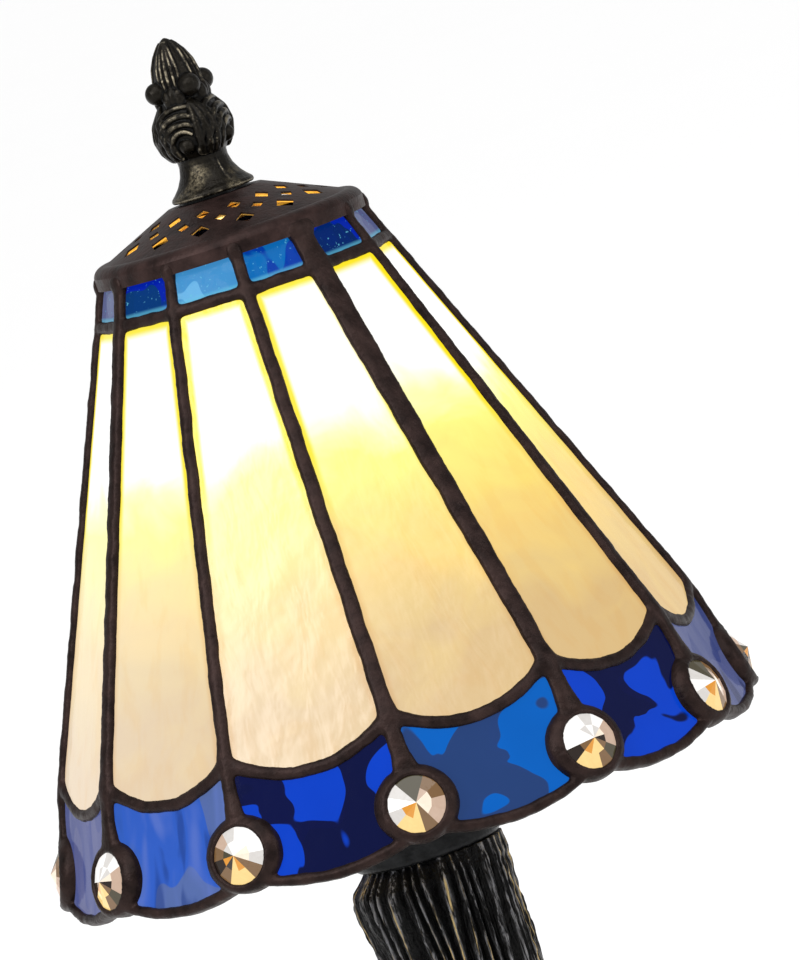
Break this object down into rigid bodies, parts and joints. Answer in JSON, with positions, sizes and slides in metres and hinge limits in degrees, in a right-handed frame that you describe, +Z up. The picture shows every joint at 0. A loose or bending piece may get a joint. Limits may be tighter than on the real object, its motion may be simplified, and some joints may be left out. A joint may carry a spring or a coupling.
{
  "type": "table lamp",
  "caption": "Table lamp with a twelve-sided leaded glass shade, cut-glass jewels round its rim, a vented cap and bud finial, on a cast tree-trunk base.",
  "frame": {"origin": "on the table, under the middle of the lamp, at the felt's underside", "axes": "+Z up along the lamp's pipe; -Y is the front, which one rib and its jewel face; +X to the right seen from the front"},
  "size_m": [0.2008, 0.2008, 0.3812],
  "materials": {
    "cream_glass": "opalescent streaky, lit from inside",
    "cobalt_glass": "transparent cathedral glass",
    "sky_glass": "transparent cathedral glass",
    "crystal": "cut and polished",
    "bulb_glass": "frosted",
    "solder": "dark brown patina on solder, satin",
    "patina_sheet": "dark patina on spun sheet, satin",
    "cast_bronze": "dark greenish bronze patina, edges rubbed",
    "dark_bronze": "dark satin",
    "trunk_finish": "black cast bark with gold dry-brushed ridges",
    "brass": "plain drawn brass",
    "bulb_cap": "drawn",
    "fibre": "pressed fibre",
    "phenolic": "dark moulded",
    "zinc_steel": "zinc plated",
    "ballast_iron": "as cast",
    "felt": "felt"
  },
  "bodies": {
    "base": {"trunk_body": "trunk_finish", "ballast": "ballast_iron", "base_plate": "zinc_steel", "felt_pad": "felt", "cord_bushing": "phenolic", "lock_washer": "zinc_steel", "pipe_nut_lower": "zinc_steel", "lamp_pipe": "zinc_steel", "collar": "dark_bronze", "harp_saddle": "brass", "harp_ferrules": "brass", "harp": "brass", "harp_stud": "brass", "pipe_nut_upper": "zinc_steel", "socket_cap": "brass", "socket_shell": "brass", "socket_liner": "fibre", "socket_body": "phenolic", "socket_screw_shell": "brass", "centre_contact": "brass", "bulb_glass": "bulb_glass", "bulb_screw_cap": "bulb_cap", "bulb_contact": "bulb_cap"},
    "shade": {"cream_panel_01": "cream_glass", "cream_panel_02": "cream_glass", "cream_panel_03": "cream_glass", "cream_panel_04": "cream_glass", "cream_panel_05": "cream_glass", "cream_panel_06": "cream_glass", "cream_panel_07": "cream_glass", "cream_panel_08": "cream_glass", "cream_panel_09": "cream_glass", "cream_panel_10": "cream_glass", "cream_panel_11": "cream_glass", "cream_panel_12": "cream_glass", "skirt_tile_01": "cobalt_glass", "skirt_tile_02": "cobalt_glass", "skirt_tile_03": "cobalt_glass", "skirt_tile_04": "cobalt_glass", "skirt_tile_05": "cobalt_glass", "skirt_tile_06": "cobalt_glass", "skirt_tile_07": "cobalt_glass", "skirt_tile_08": "cobalt_glass", "skirt_tile_09": "cobalt_glass", "skirt_tile_10": "cobalt_glass", "skirt_tile_11": "cobalt_glass", "skirt_tile_12": "cobalt_glass", "top_tiles": "sky_glass", "top_seams": "solder", "scallop_seams": "solder", "rim_seams": "solder", "solder_ribs": "solder", "jewel_bezels": "solder", "crystal_jewels": "crystal", "vent_cap": "patina_sheet", "cap_ring": "solder"},
    "finial_seat": {"finial_washer": "brass"},
    "finial_body": {"finial": "cast_bronze"},
    "knob": {"switch_knob": "phenolic"}
  },
  "joints": [
    {"name": "shade_turn", "type": "hinge", "parent": "base", "child": "shade", "pos_m": [0, 0, 0.3355], "axis": [0, 0, 1], "continuous": true},
    {"name": "finial_lift", "type": "slide", "parent": "base", "child": "finial_seat", "axis": [0, 0, 1], "range_m": [0, 0.00752]},
    {"name": "finial_turn", "type": "hinge", "parent": "finial_seat", "child": "finial_body", "pos_m": [0, 0, 0.3372], "axis": [0, 0, 1], "range_deg": [0, 2880]},
    {"name": "knob_turn", "type": "hinge", "parent": "base", "child": "knob", "pos_m": [0, 0.02, 0.189], "axis": [0, 1, 0], "continuous": true}
  ],
  "couplings": [
    {"joint": "finial_turn", "follows": "finial_lift", "rad_per_m": 6679}
  ]
}
